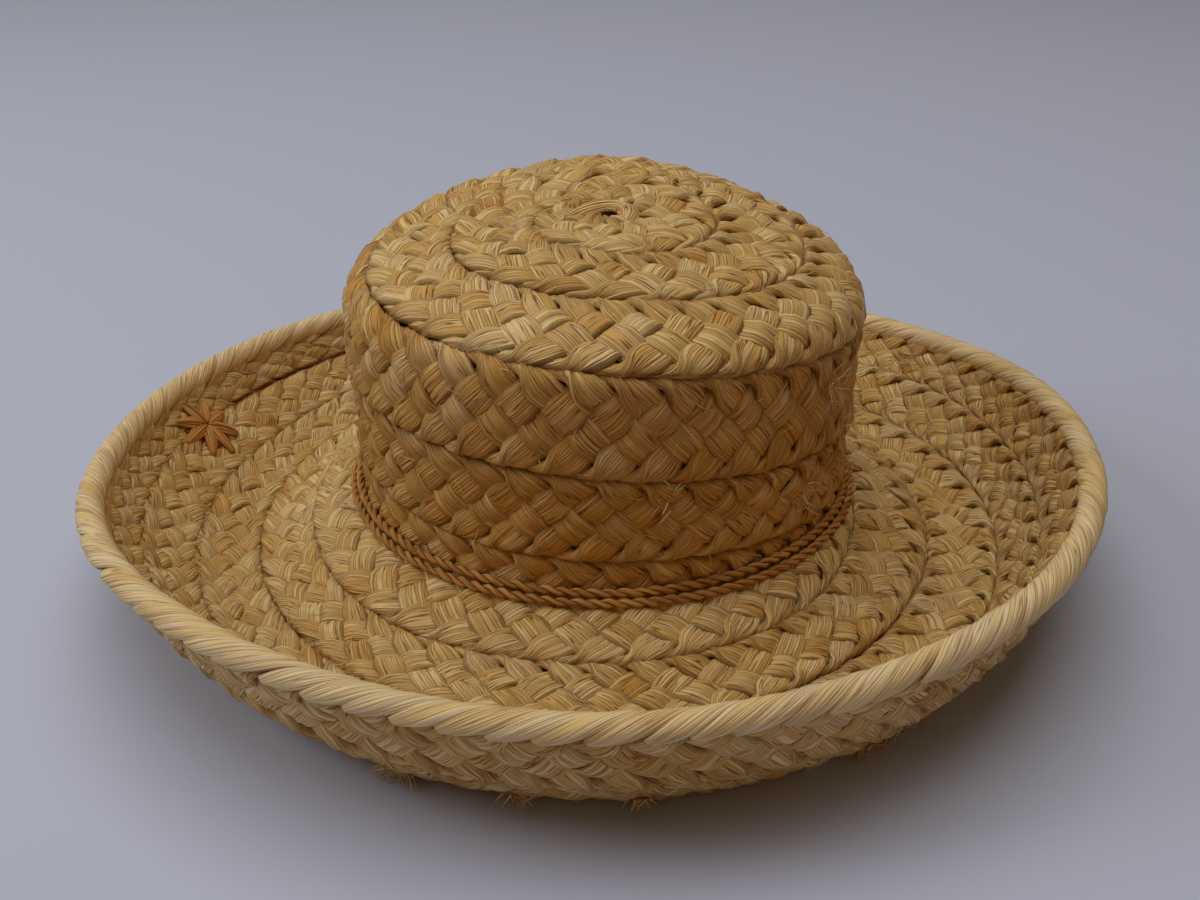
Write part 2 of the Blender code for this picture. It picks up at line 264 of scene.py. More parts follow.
class Straw:
    """The wall's middle, tabled by azimuth and by distance along the straw from the tip's centre."""

    def __init__(self):
        self.azimuth = np.linspace(0, tau, AZIMUTH_STEPS + 1)
        points = meridian_points(self.azimuth)
        steps = np.linalg.norm(np.diff(points, axis=1), axis=-1)
        distance = np.concatenate([np.zeros((len(points), 1)), np.cumsum(steps, axis=1)], axis=1)
        self.crown_length = distance[:, 3 * (SPAN_POINTS - 1)]
        self.rim_length = distance[:, -2]
        grid = np.arange(0, distance[:, -1].min(), STRAW_STEP)
        self.radius = np.stack([np.interp(grid, d, p[:, 0]) for d, p in zip(distance, points)])
        self.height = np.stack([np.interp(grid, d, p[:, 1]) for d, p in zip(distance, points)])
        turn = self.azimuth[1]
        safe_radius = np.maximum(self.radius, STRAW_STEP)
        out, up = (np.gradient(table, STRAW_STEP, axis=1) for table in (self.radius, self.height))
        out_round, up_round = (
            np.gradient(table, turn, axis=0) / safe_radius for table in (self.radius, self.height)
        )
        normal = np.stack([-up, up * out_round - out * up_round, out], -1)
        self.normal = normal / np.linalg.norm(normal, axis=-1, keepdims=True)

    def read(self, table, azimuth, distance):
        """Value of a table between its rows and columns."""
        row = (azimuth % tau) / tau * AZIMUTH_STEPS
        column = np.clip(distance / STRAW_STEP, 0, table.shape[1] - 1.001)
        low_row = np.minimum(row.astype(int), AZIMUTH_STEPS - 1)
        low_column = column.astype(int)
        row_share, column_share = row - low_row, column - low_column
        if table.ndim == 3:
            row_share, column_share = row_share[..., None], column_share[..., None]
        near = table[low_row, low_column] * (1 - column_share)
        near = near + table[low_row, low_column + 1] * column_share
        far = table[low_row + 1, low_column] * (1 - column_share)
        far = far + table[low_row + 1, low_column + 1] * column_share
        return near * (1 - row_share) + far * row_share

    def place(self, azimuth, distance, offset):
        """Points a given offset out of the wall's middle, in the frame's own space."""
        radius = self.read(self.radius, azimuth, distance)
        height = self.read(self.height, azimuth, distance)
        normal = self.read(self.normal, azimuth, distance)
        radial, tangential = radius + normal[..., 0] * offset, normal[..., 1] * offset
        east = radial * np.cos(azimuth) - tangential * np.sin(azimuth)
        north = radial * np.sin(azimuth) + tangential * np.cos(azimuth)
        rise = height + normal[..., 2] * offset
        rise = (rise + np.sqrt(rise ** 2 + PRESS ** 2)) / 2
        return np.stack([east + AXIS.x, north + AXIS.y, rise], -1)

    def ring(self, azimuth, distance):
        """Radius of the wall's middle at one place."""
        return float(self.read(self.radius, np.array([azimuth]), np.array([distance]))[0])

    def crown_end(self, azimuth):
        return np.interp(azimuth % tau, self.azimuth, self.crown_length)

    def rim_end(self, azimuth):
        return np.interp(azimuth % tau, self.azimuth, self.rim_length)


STRAW = Straw()


def smooth_step(value):
    share = np.clip(value, 0, 1)
    return share * share * (3 - 2 * share)


# How a value drifts along a strand: the distance between its turns, and the most that it drifts
Drift = namedtuple("Drift", "spacing amount")
PLAIT_SWAY = Drift(0.045, 0.0006)
PLAIT_LIFT = Drift(0.030, 0.00035)
STRAND_ROLL = Drift(0.019, 0.13)
STRAND_WIDTH = Drift(0.017, 0.08)
STRAND_RIDGE = Drift(0.019, 0.00032)
STRAND_SWAY = Drift(0.020, 0.0005)
STRAND_LIFT = Drift(0.021, 0.00016)
STRAND_TONE = Drift(0.018, 0.34)
STRAND_GOLD = Drift(0.040, 0.40)
PLY_SWING = Drift(0.012, 0.12)
PLY_FATNESS = Drift(0.009, 0.12)
PLY_RIDGE = Drift(0.011, 0.00010)
PLY_TONE = Drift(0.008, 0.5)
PLY_GOLD = Drift(0.03, 0.5)
CORD_LIFT = Drift(0.05, 0.0003)
WRAP_RIDGE = Drift(0.012, 0.00016)
DRIFT_KNOTS = 4096


def wander(seed, place, drift):
    """A value that drifts smoothly along a strand, within plus or minus the drift's amount."""
    knots = np.random.default_rng(seed).uniform(-drift.amount, drift.amount, DRIFT_KNOTS)
    at = place / drift.spacing + 8
    low = np.clip(np.floor(at).astype(int), 0, DRIFT_KNOTS - 2)
    share = smooth_step(at - low)
    return knots[low] * (1 - share) + knots[low + 1] * share


def ridges(key, first, rows, place, drift):
    """A drift of its own along each row of a tube. The last row is the first one again."""
    lines = np.stack([wander((*key, first + row), place, drift) for row in range(rows - 1)])
    return np.concatenate([lines, lines[:1]])


# A sunken groove in the brim, from the star to behind the crown. Its upper side also gets painted shade.
GROOVE_START, GROOVE_END = radians(88), radians(163)
GROOVE_FADE = 0.25  # radians in which it begins and ends
GROOVE_DISTANCE = 0.0985  # from the crown's foot
GROOVE_DEPTH = 0.0024
GROOVE_HALF = 0.0038

SEAM_SHADE = 0.75  # how much painted shade the straw gets in a seam
SEAM_HALF = 0.0010
FULL_WIDTH = 0.020  # a round of plait narrower than this has flatter strands and shorter laps

# What passes the crown's foot is drawn in by a share of its length and pressed inward.
Tuck = namedtuple("Tuck", "drawn pressed deepest")
CROWN_TUCK = Tuck(0.72, 0.12, 0.0026)
BRIM_TUCK = Tuck(0.35, 0.45, 0.0030)
TUCK_MARGIN = 0.001


def groove(azimuth, brim_distance):
    """How deep in the brim's crease a place is, from 0 to 1."""
    along = np.minimum(azimuth % tau - GROOVE_START, GROOVE_END - azimuth % tau)
    across = (brim_distance - GROOVE_DISTANCE) / GROOVE_HALF
    return smooth_step(along / GROOVE_FADE + 0.5) * np.exp(-across ** 2)


class Round:
    """Where the plait of one spiral runs: its turns and edges at each length of plait."""

    def __init__(self, spiral):
        self.spiral = spiral
        turns = np.arange(-1.2, spiral.last_turn + 0.6, TURN_STEP)
        seam = np.interp(turns, [s.turns for s in spiral.seams], [s.distance for s in spiral.seams])
        width = int(SEAM_SMOOTHING / TURN_STEP)
        padded = np.pad(seam, width, mode="edge")
        window = np.hanning(2 * width + 1)
        self.turns = turns
        self.seam = np.convolve(padded, window / window.sum(), mode="valid")
        inner, outer = self.edges(turns)
        azimuth = tau * turns * spiral.winding
        reach = STRAW.read(STRAW.radius, azimuth, (inner + outer) / 2) * tau
        lengths = np.cumsum(reach * TURN_STEP / self.fullness(turns))
        self.length = lengths - np.interp(0, turns, lengths)

    def fullness(self, turns):
        """Size of the plait as a share of its full size: it starts fine at the crown's tip."""
        if self.spiral.winding < 0:
            return np.ones_like(turns)
        return np.interp(turns, [0, 0.5, 1.3], [0.36, 0.66, 1.0])

    def edges(self, turns):
        """Inner and outer edge at some turns, as distances along the straw from the tip's centre."""
        azimuth = tau * turns * self.spiral.winding
        inner = np.interp(turns - 1, self.turns, self.seam)
        outer = np.interp(turns, self.turns, self.seam)
        if self.spiral.winding > 0:
            return np.maximum(inner, 0), outer
        start = STRAW.crown_end(azimuth)
        rim = STRAW.rim_end(azimuth) + RIM_TUCK
        return np.minimum(start + inner, rim), np.minimum(start + outer, rim)

    def turns_at(self, length):
        return np.interp(length, self.length, self.turns)

    def length_at(self, turns):
        return np.interp(turns, self.turns, self.length)


def lay_on_straw(track, length, across, lift, lap, tilt):
    """Places points of the flat plait, given along, across and out of it, on the sewn hat.

    It also gives how much painted shade each point gets in a seam or in the brim's groove, from 0 to 1.
    """
    turns = track.turns_at(length)
    azimuth = tau * turns * track.spiral.winding
    inner, outer = track.edges(turns)
    share = across / PLAIT_WIDTH + 0.5
    width = outer - inner
    squeeze = np.clip(width / FULL_WIDTH, 0.15, 1)
    distance = inner - lap * squeeze + share * (width + 2 * lap * squeeze)
    distance = distance + wander((track.spiral.seed, 1), length, PLAIT_SWAY) * squeeze
    offset = lift * np.minimum(squeeze, track.fullness(turns) ** 0.5) + tilt * (2 * share - 1)
    offset = offset + wander((track.spiral.seed, 2), length, PLAIT_LIFT)
    foot = STRAW.crown_end(azimuth)
    edge_gap = np.minimum(np.abs(distance - inner), np.abs(distance - outer))
    # Painted shade along the seams between rounds.
    crease_shade = SEAM_SHADE * np.exp(-(edge_gap / SEAM_HALF) ** 2)
    if track.spiral.winding > 0:
        past = np.maximum(distance - (foot - TUCK_MARGIN), 0)
        distance = distance - past * CROWN_TUCK.drawn
        offset = offset - np.minimum(past * CROWN_TUCK.pressed, CROWN_TUCK.deepest)
    else:
        sunk = groove(azimuth, distance - foot)
        offset = offset - GROOVE_DEPTH * sunk
        # Painted shade in the brim's groove, on the plait's upper side only.
        upper_side = smooth_step((lift + 0.0016) / 0.0008)
        crease_shade = np.maximum(crease_shade, sunk ** 4 * upper_side)
        before = np.maximum(foot + TUCK_MARGIN - distance, 0)
        distance = distance + before * BRIM_TUCK.drawn
        offset = offset - np.minimum(before * BRIM_TUCK.pressed, BRIM_TUCK.deepest)
    return STRAW.place(azimuth, np.maximum(distance, 0.0004), offset), crease_shade


def bent_grids(name, tubes):
    """A mesh of grids bent into tubes, from the points, UV and tint of each tube.

    A column goes along a tube and a row round it. The first and last row meet, and so do all the
    rows of the first and last column.
    """
    rows, columns = tubes[0][0].shape[:2]
    cloth = bmesh.new()
    for tube in tubes:
        bmesh.ops.create_grid(cloth, x_segments=columns - 1, y_segments=rows - 1, size=0.5)
    mesh = bpy.data.meshes.new(name)
    cloth.to_mesh(mesh)
    cloth.free()
    points, flat, tint = (np.stack(part) for part in zip(*tubes))
    mesh.vertices.foreach_set("co", points.reshape(-1).astype(np.float32))
    corners = np.empty(len(mesh.loops), dtype=np.int32)
    mesh.loops.foreach_get("vertex_index", corners)
    strand_map = mesh.uv_layers.new(name="strand")
    strand_map.data.foreach_set("uv", flat.reshape(-1, 2)[corners].reshape(-1).astype(np.float32))
    tone = mesh.color_attributes.new("straw", "FLOAT_COLOR", "POINT")
    tone.data.foreach_set("color", tint.reshape(-1).astype(np.float32))
    return mesh


def finished_tubes(name, mesh, material, body, nodes):
    """Closes the tubes, turns their faces outward and hands the piece to the frame."""
    cloth = bmesh.new()
    cloth.from_mesh(mesh)
    bmesh.ops.remove_doubles(cloth, verts=cloth.verts, dist=0.000002)
    bmesh.ops.recalc_face_normals(cloth, faces=cloth.faces)
    cloth.to_mesh(mesh)
    cloth.free()
    mesh.shade_smooth()
    mesh.materials.append(material)
    piece = bpy.data.objects.new(name, mesh)
    bpy.context.scene.collection.objects.link(piece)
    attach(piece, body)
    if nodes:
        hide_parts(*nodes)
    return piece


def closed_ends(columns):
    """One along a tube and nothing at its first and last column, where it closes."""
    closed = np.ones(columns)
    closed[[0, -1]] = 0
    return closed


def tube_section(points):
    """Cosines and sines of the directions round a tube and back to the start, one to a row."""
    turn = np.linspace(0, tau, points + 1)[:, None]
    return np.cos(turn), np.sin(turn)


def ribbon_section(top_points, bottom_points):
    """Places across a ribbon and heights, both from -1 to 1, round it and back to the start."""
    over = np.linspace(-1, 1, top_points)
    under = np.linspace(1, -1, bottom_points + 2)[1:-1]
    across = np.concatenate([over, under, over[:1]])
    side = np.concatenate([np.ones(top_points), -np.ones(bottom_points), [1]])
    bulge = (1 - np.abs(across) ** 2.6) ** 0.5
    return across[:, None], (side * bulge)[:, None]


def strand_uv(shape, along, across):
    """UV of a tube's points, from metres along its strand and across it."""
    return np.stack([np.broadcast_to(metres / UV_SIZE, shape) for metres in (along, across)], -1)


def plain_tint(shape, tone, painted_shade, golden):
    """Tint of a tube's points, from values that drift along it or go round it: its tone, its painted shade
    and how golden it is.
    """
    parts = [np.broadcast_to(value, shape) for value in (tone, painted_shade, golden, 1.0)]
    return np.stack(parts, -1)


def fold_wave(phase):
    """Place of a strand across the plait, from -1 to 1, folding smoothly at both edges."""
    wave = FOLD_SHARPNESS * np.sin(tau * (phase - 0.25))
    return np.arcsin(wave) / np.arcsin(FOLD_SHARPNESS)


def weave_wave(phase):
    """Over and under along a strand: it leaves each edge over the first strand that it meets."""
    half = phase % 0.5
    early = np.sin(5 * pi * half)
    late = -np.sin(5 * pi * (0.5 - half))
    between = -np.cos(10 * pi * half)
    return np.where(half < 0.1, early, np.where(half > 0.4, late, between))


def turn_over(phase):
    """How far a strand is turned over, from 0 to 1, and how near it is to an edge's fold."""
    part = phase % 1.0
    reach = 2 * FOLD_SHARE
    turned = smooth_step((part - 0.5 + FOLD_SHARE) / reach) - smooth_step((part - 1 + FOLD_SHARE) / reach)
    turned = turned + np.where(part < FOLD_SHARE, 1 - smooth_step((part + FOLD_SHARE) / reach), 0)
    away = np.abs((phase % 0.5) - 0.25)
    return turned, smooth_step((away - 0.25 + 1.3 * FOLD_SHARE) / (1.3 * FOLD_SHARE))


def lay_plait(name, spiral, first_turn, last_turn, material, nodes, sizes):
    """One stretch of the plait: five strands woven in the flat, then laid along the spiral."""
    track = Round(spiral)
    start, end = track.length_at(first_turn), track.length_at(last_turn)
    length = np.linspace(start, end, int((end - start) / sizes.section_step))
    length = np.concatenate([length[:1], length, length[-1:]])
    closed = closed_ends(len(length))
    across, bulge = ribbon_section(9, 7)
    swing = PLAIT_WIDTH / 2 - sizes.fold_half
    gold_and_side_shade = PLAIT_GOLD
    # Down the crown's side the straw is made more golden: painted warm shade.
    if spiral.winding > 0:
        gold_and_side_shade = gold_and_side_shade + CROWN_SIDE_WARM_SHADE * smooth_step(track.turns_at(length) - CROWN_SIDE_SHADE_TURN)
    tubes = []
    for strand in range(STRANDS):
        key = (spiral.seed, strand)
        phase = length / sizes.strand_repeat + strand / STRANDS
        turned, fold = turn_over(phase)
        middle = (swing - FOLD_PULL * fold) * fold_wave(phase)
        slope = np.gradient(middle[1:-1], length[1:-1])
        slope = np.concatenate([slope[:1], slope, slope[-1:]])
        lean = np.sqrt(1 + slope ** 2)
        turned = turned * pi * spiral.winding + wander((*key, 5), length, STRAND_ROLL)
        half = sizes.strand_width / 2 * (1 - FOLD_NARROWING * fold)
        half = half * (1 + wander((*key, 3), length, STRAND_WIDTH)) * (1 + 0.05 * weave_wave(phase) ** 2)
        thick = sizes.strand_half + (sizes.fold_half - sizes.strand_half) * fold
        ridge = ridges(key, 10, len(across), length, STRAND_RIDGE) * np.minimum(1, 2 * np.abs(bulge))
        wide = across * half * closed
        tall = (bulge * thick + np.sign(bulge) * ridge) * closed
        side = wide * np.cos(turned) - tall * np.sin(turned) + wander((*key, 4), length, STRAND_SWAY)
        weave = weave_wave(phase) * spiral.winding
        lift = sizes.weave_height * weave + wander((*key, 6), length, STRAND_LIFT)
        lift = lift + wide * np.sin(turned) + tall * np.cos(turned)
        along = length - side * slope / lean
        over = middle + side / lean
        placed, crease_shade = lay_on_straw(track, along, over, lift, sizes.lap, sizes.tilt)
        # Painted shade: where a strand dips under the strand crossing it, along its edges, and in the
        # seams and the brim's groove.
        outward = np.cos(turned) * np.sign(bulge)
        sunk = np.clip(0.5 - 0.5 * weave * outward, 0, 1) * (1 - fold)
        edge = 0.3 * np.abs(across) ** 10 * (1 - fold)
        recess_shade = np.maximum(np.maximum(sunk * 0.82, edge), crease_shade)
        tone = 0.5 + wander((*key, 7), length, STRAND_TONE)
        golden = gold_and_side_shade + wander((*key, 8), length, STRAND_GOLD)
        two_sided = across * np.sign(bulge + 0.01) + 3 * (bulge < 0)
        flat = strand_uv(side.shape, length * 1.35, two_sided * sizes.strand_width / 2 + 0.023 * strand)
        tubes.append((placed, flat, plain_tint(side.shape, tone, recess_shade, golden)))
    return finished_tubes(name, bent_grids(name, tubes), material, "root", nodes)


def add_node(tree, kind, settings=None, links=None):
    """Adds a node, sets its properties or sockets by name, and links other nodes' sockets to it."""
    node = tree.nodes.new(kind)
    for name, value in (settings or {}).items():
        if isinstance(name, str) and hasattr(node, name):
            setattr(node, name, value)
        else:
            node.inputs[name].default_value = value
    for name, source in (links or {}).items():
        tree.links.new(source, node.inputs[name])
    return node


def new_material(name):
    material = bpy.data.materials.new(name)
    material.use_nodes = True
    tree = material.node_tree
    tree.nodes.clear()
    return material, tree


def set_ramp(node, stops):
    """Gives a colour ramp its stops, as places with linear colours."""
    elements = node.color_ramp.elements
    while len(elements) < len(stops):
        elements.new(0.5)
    for element, (place, colour) in zip(elements, stops):
        element.position = place
        element.color = (*colour, 1.0)
    return node


def raffia_material(name, tones, golden, crease_and_shade, seed, relief, line_depth=0.80):
    """Raffia: strips of dried palm leaf, bundled. It is pale and softly shiny along its fibres, with
    golden stains and brown creases between the fibres, and no two bundles have the same tone. The brown of
    the creases is also mixed in as painted shade where the tint asks for it, and the golden colour where
    the tint's golden share is raised down the crown's side, as painted warm shade."""
    material, tree = new_material(name)
    out = add_node(tree, "ShaderNodeOutputMaterial")
    strand = add_node(tree, "ShaderNodeUVMap", {"uv_map": "strand"})
    tint = add_node(tree, "ShaderNodeAttribute", {"attribute_name": "straw"})
    parts = add_node(tree, "ShaderNodeSeparateColor", links={"Color": tint.outputs["Color"]})
    # Green is painted shade; blue is golden stains and, down the crown's side, painted warm shade.
    tone, painted_shade, stain_and_side_shade = (parts.outputs[part] for part in ("Red", "Green", "Blue"))

    def math_node(operation, *values):
        """Result of a math node whose inputs are numbers or other nodes' results."""
        numbers = {place: value for place, value in enumerate(values) if isinstance(value, float)}
        links = {place: value for place, value in enumerate(values) if place not in numbers}
        return add_node(tree, "ShaderNodeMath", {"operation": operation, **numbers}, links).outputs[0]

    def streaks(width, length, detail, offset):
        """Noise drawn out along the strand, with streaks about so wide and so long in metres."""
        spot = add_node(
            tree, "ShaderNodeMapping",
            {"Scale": (UV_SIZE / length, UV_SIZE / width, 1), "Location": (offset, offset * 1.7, seed)},
            {"Vector": strand.outputs["UV"]},
        )
        return add_node(
            tree, "ShaderNodeTexNoise",
            {"Scale": 1.0, "Detail": detail, "Roughness": 0.55, "Distortion": 0.15},
            {"Vector": spot.outputs["Vector"]},
        ).outputs["Fac"]

    def creases(streak, reach, depth):
        """Thin lines where a streak passes its middle value, so between two strips."""
        away = math_node("ABSOLUTE", math_node("SUBTRACT", streak, 0.5))
        return add_node(
            tree, "ShaderNodeMapRange", {"From Max": reach, "To Min": depth, "To Max": 0.0},
            {"Value": away},
        ).outputs[0]

    fibres = streaks(0.00045, 0.016, 2.0, 1.3)  # single fibres
    strips = streaks(0.0012, 0.030, 0.5, 5.1)  # leaf strips in a bundle
    blotches = streaks(0.006, 0.014, 2.0, 9.4)
    lightness = math_node("MULTIPLY_ADD", fibres, 0.45, math_node("MULTIPLY_ADD", tone, 0.42, strips))
    body = set_ramp(
        add_node(tree, "ShaderNodeValToRGB", links={"Fac": lightness}),
        list(zip((0.24, 0.87, 1.50), tones)),
    )
    # Golden stains, and down the crown's side painted warm shade, mix toward the golden colour.
    stain_and_side_shade_mix = add_node(
        tree, "ShaderNodeMapRange", {"From Min": 0.20, "From Max": 0.56, "To Max": 0.62},
        {"Value": math_node("MULTIPLY", stain_and_side_shade, blotches)},
    )
    warm = add_node(
        tree, "ShaderNodeMix", {"data_type": "RGBA", 7: (*golden, 1)},
        {0: stain_and_side_shade_mix.outputs[0], 6: body.outputs["Color"]},
    )
    # Painted shade from the tint mixes in the brown of the creases, as do the thin lines between fibres.
    sunk = add_node(
        tree, "ShaderNodeMapRange", {"From Min": 0.38, "From Max": 0.84, "To Max": 0.92}, {"Value": painted_shade},
    )
    cut = math_node("MAXIMUM", creases(strips, 0.04, line_depth), creases(fibres, 0.045, 0.5 * line_depth))
    crease_shade = add_node(
        tree, "ShaderNodeMix", {"data_type": "RGBA", 7: (*crease_and_shade, 1)},
        {0: math_node("MAXIMUM", cut, sunk.outputs[0]), 6: warm.outputs[2]},
    )
    height = math_node("MULTIPLY_ADD", fibres, 0.5, strips)
    bump = add_node(
        tree, "ShaderNodeBump", {"Strength": relief, "Distance": 0.0008},
        {"Height": math_node("SUBTRACT", height, creases(strips, 0.09, 0.5))},
    )
    shader = add_node(
        tree, "ShaderNodeBsdfPrincipled",
        {"Roughness": 0.58, "IOR": 1.48, "Specular IOR Level": 0.20},
        {"Base Color": crease_shade.outputs[2], "Normal": bump.outputs["Normal"]},
    )
    tree.links.new(shader.outputs["BSDF"], out.inputs["Surface"])
    return material


def plait_material():
    known = bpy.data.materials.get("plaited raffia")
    colours = bpy.context.scene.raffia_colours
    return known or raffia_material(
        "plaited raffia",
        tuple(hex_colour(code) for code in (colours.golden, colours.straw, colours.pale)),
        hex_colour(colours.stain_and_side_shade), hex_colour(colours.crease_and_shade), seed=0.0, relief=0.7, line_depth=0.95,
    )


class HAT_OT_plait_crown(bpy.types.Operator):
    """Plait of the crown, from the tip's centre to under the cords"""

    bl_idname = "hat.plait_crown"
    bl_label = "Plait the crown"

    def execute(self, context):
        sizes, material = context.scene.plait_sizes, plait_material()
        lay_plait("plait_tip", CROWN_SPIRAL, 0.02, CROWN_JOIN, material, ["crown_tip"], sizes)
        lay_plait(
            "plait_side", CROWN_SPIRAL, CROWN_JOIN, CROWN_SPIRAL.last_turn, material,
            ["crown_side"], sizes,
        )
        return {"FINISHED"}


class HAT_OT_plait_brim(bpy.types.Operator):
    """Plait of the brim, from inside the crown's foot to the rim"""

    bl_idname = "hat.plait_brim"
    bl_label = "Plait the brim"

    def execute(self, context):
        sizes, material = context.scene.plait_sizes, plait_material()
        lay_plait("plait_brim_inner", BRIM_SPIRAL, 0.0, BRIM_JOIN, material, ["brim"], sizes)
        lay_plait(
            "plait_brim_outer", BRIM_SPIRAL, BRIM_JOIN, BRIM_SPIRAL.last_turn, material,
            ["brim"], sizes,
        )
        return {"FINISHED"}


CORD_PLIES = 2
TWIST_COLUMNS = 14  # columns in which a ply turns once


def twist_cord(name, node, material, sizes, seed):
    """Two plies of raffia twisted into a cord and laid round the foot of the crown."""
    low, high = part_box(node)
    cord_radius = (high[2] - low[2]) / 2
    ring_radius = (high[0] - low[0]) / 2 - cord_radius
    height = (high[2] + low[2]) / 2
    twists = round(tau * ring_radius / sizes.cord_pitch)
    azimuth = np.linspace(0, tau, TWIST_COLUMNS * twists)
    length = azimuth * ring_radius
    around, up = tube_section(9)
    rows = len(around)
    tubes = []
    for ply in range(CORD_PLIES):
        lay = -twists * azimuth + ply * pi
        swing = sizes.ply_offset * (1 + wander((seed, ply, 1), length, PLY_SWING))
        fat = sizes.ply_radius * (1 + wander((seed, ply, 2), length, PLY_FATNESS))
        reach = (fat + ridges((seed, ply), 10, rows, length, PLY_RIDGE)) * closed_ends(len(azimuth))
        out = ring_radius + swing * np.cos(lay) + reach * around
        rise = height + swing * np.sin(lay) + reach * up + wander((seed, 3), length, CORD_LIFT)
        points = np.stack([AXIS.x + out * np.cos(azimuth), AXIS.y + out * np.sin(azimuth), rise], -1)
        flat = strand_uv(out.shape, length * 1.2, np.linspace(0, 0.006, rows)[:, None] + ply * 0.03)
        # Painted shade on the side of each ply that faces the other ply.
        inward = np.clip(0.30 - 0.70 * (around * np.cos(lay) + up * np.sin(lay)), 0, 1)
        tone = 0.5 + wander((seed, ply, 4), length, PLY_TONE)
        golden = 0.5 + wander((seed, ply, 5), length, PLY_GOLD)
        tubes.append((points, flat, plain_tint(out.shape, tone, inward, golden)))
    return finished_tubes(name, bent_grids(name, tubes), material, "root", [node])


WRAP_COLUMNS = 30
WRAP_LENGTH = 0.03
WRAP_START, WRAP_SWEEP = radians(192), radians(300)  # round the roll, from under the last round
WRAP_ALONG, WRAP_ROUND = 0.47, 0.88  # how a wrap's width lies along the rim and round the roll


def roll_rim(material, sizes):
    """The strands at the edge of the last round, rolled over the rim side by side."""
    low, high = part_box("rim_roll")
    across, bulge = ribbon_section(9, 3)
    girth = tau * (high[0] - low[0]) / 2
    wraps = round(girth / sizes.wrap_spacing)
    share = np.linspace(0, 1, WRAP_COLUMNS)
    closed = closed_ends(WRAP_COLUMNS)
    rng = np.random.default_rng(41)
    tubes = []
    for wrap in range(wraps):
        start = tau * (wrap + rng.uniform(-0.10, 0.10)) / wraps
        lean = sizes.wrap_spacing / girth * tau * rng.uniform(2.9, 3.5)
        width = sizes.wrap_width / 2 * rng.uniform(0.92, 1.1) * (1 - 0.45 * np.abs(2 * share - 1) ** 3)
        side = across * width * closed
        ridge = ridges((41, wrap), 0, len(across), share * WRAP_LENGTH, WRAP_RIDGE) * (bulge > 0.2)
        azimuth = start - lean * (share - 0.5) + side / (girth / tau) * WRAP_ALONG
        turned = WRAP_START - WRAP_SWEEP * share - side / ROLL_RADIUS * WRAP_ROUND
        reach = ROLL_RADIUS - 0.0006 + (0.0010 * bulge + ridge) * closed + 0.0004 * np.sin(pi * share)
        past = STRAW.rim_end(azimuth) + ROLL_RADIUS + reach * np.cos(turned)
        points = STRAW.place(azimuth, past, reach * np.sin(turned))
        flat_across = across * sizes.wrap_width / 2 + 0.037 * wrap
        flat = strand_uv(side.shape, share * WRAP_LENGTH + wrap * 0.05, flat_across)
        tone, golden = rng.uniform(0.2, 0.9), rng.uniform(0, 0.6)
        # Painted shade along each wrap's edges, where it meets its neighbours.
        tubes.append((points, flat, plain_tint(side.shape, tone, np.abs(across) ** 6, golden)))
    mesh = bent_grids("rim_wraps", tubes)
    return finished_tubes("rim_wraps", mesh, material, "root", ["rim_roll"])


STAR_AZIMUTH = radians(166)
STAR_DISTANCE = 0.0980  # along the brim from the crown's foot
STAR_THREADS = 5  # threads in each ray
THREAD_FLAT = 0.005  # metres round a thread, on its UV map


def stitch_star(material, sizes):
    """Rays of raffia thread, stitched from one hole outward over a seam of the brim. Every second ray lies
    flat and is tinted all over with painted shade, for the shade in the gaps between the raised rays, and
    the raised rays get painted shade toward the hole.
    """
    around, up = tube_section(7)
    share = np.linspace(0, 1, 14)
    closed = closed_ends(len(share))
    round_thread = np.linspace(0, THREAD_FLAT, len(around))[:, None]
    rng = np.random.default_rng(67)
    ring = STRAW.ring(STAR_AZIMUTH, STRAW.crown_end(STAR_AZIMUTH) + STAR_DISTANCE)
    tubes = []
    for ray in range(2 * sizes.star_rays):
        raised = ray % 2 == 0
        heading = pi * (ray + rng.uniform(-0.2, 0.2)) / sizes.star_rays
        reach = sizes.star_radius * rng.uniform(0.85, 1.0) * (1 - 0.18 * max(sin(heading), 0))
        if not raised:
            reach = reach * 0.72
        for thread in range(STAR_THREADS):
            spread = (thread - (STAR_THREADS - 1) / 2) * (0.00096 if raised else 0.0012)
            along = reach * share
            aside = spread * (0.30 + 0.85 * np.sin(pi * share ** 0.8)) + 0.0002 * rng.uniform(-1, 1)
            rise = 0.0026 * np.sin(pi * share ** 0.75) ** 0.6 + 0.0010 * (1 - share)
            rise = rise * (1 if raised else 0.10) - 0.7 * abs(spread) + WALL_HALF + 0.0009
            thick = 0.00072 * (0.75 + 0.35 * np.sin(pi * share)) * closed
            cross = aside + thick * around
            east = along * cos(heading) - cross * sin(heading)
            out = along * sin(heading) + cross * cos(heading)
            azimuth = STAR_AZIMUTH - east / ring
            distance = STRAW.crown_end(azimuth) + STAR_DISTANCE + out
            points = STRAW.place(azimuth, distance, rise + thick * up)
            number = ray * STAR_THREADS + thread
            flat = strand_uv(cross.shape, along, round_thread + 0.021 * number)
            # Painted shade: darker toward the hole on a raised ray, and all over on a flat ray between
            # them.
            painted_shade = np.clip(0.45 - share * 1.5, 0, 1) if raised else 1.0
            tone, golden = rng.uniform(0.2, 0.9), rng.uniform(0, 0.7)
            tubes.append((points, flat, plain_tint(cross.shape, tone, painted_shade, golden)))
    mesh = bent_grids("star_threads", tubes)
    return finished_tubes("star_threads", mesh, material, "root", ["star_stitch"])


CURL_THREADS = 8
CURL = (  # east, north and up of the crown's tip: a cubic curve's end, its two handles and other end
    (-0.0140, -0.0020, -0.0004), (-0.0040, 0.0080, 0.0046),
    (0.0160, 0.0080, 0.0044), (0.0070, -0.0080, -0.0002),
)


